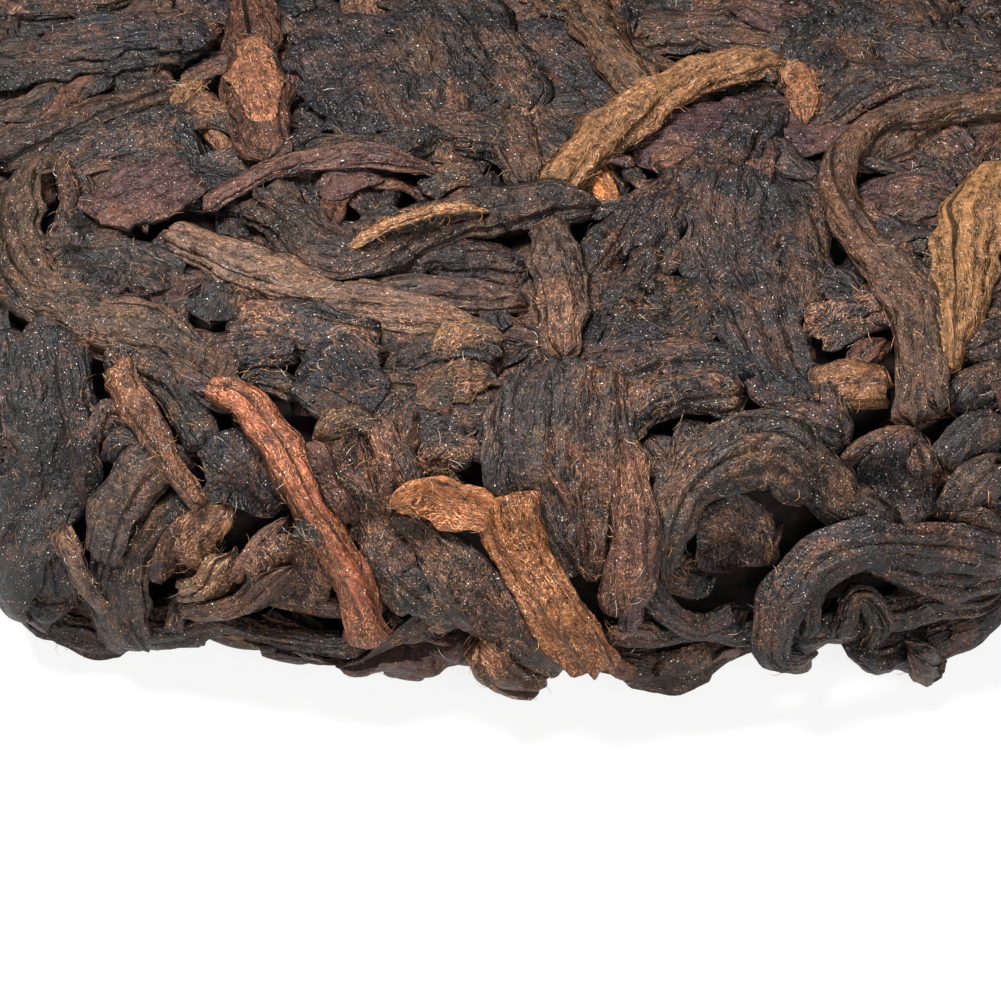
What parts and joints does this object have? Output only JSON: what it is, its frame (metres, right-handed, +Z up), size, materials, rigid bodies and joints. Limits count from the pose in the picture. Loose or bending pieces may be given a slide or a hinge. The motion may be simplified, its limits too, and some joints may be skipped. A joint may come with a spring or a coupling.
{
  "type": "pu erh tea cake",
  "caption": "Small round cake of ripe tea: whole dark leaves pressed into a domed disc with a rounded uneven rim and a shallow hollow underneath.",
  "frame": {"origin": "on the surface the cake lies on, under the middle of the disc", "axes": "+Z up through the disc, from the flat underside to the domed top; the pictured edge faces -Y"},
  "size_m": [0.1072, 0.1084, 0.0194],
  "materials": {
    "ripe_leaf": "dry, dark brown to blue-black pressed leaf, matt with a faint sheen, fine hairs and wrinkles",
    "golden_bud": "orange to golden brown downy leaf bud",
    "red_stem": "reddish brown dry leaf stalk, faint sheen"
  },
  "bodies": {
    "root": {"tea_cake": "ripe_leaf"}
  },
  "joints": []
}
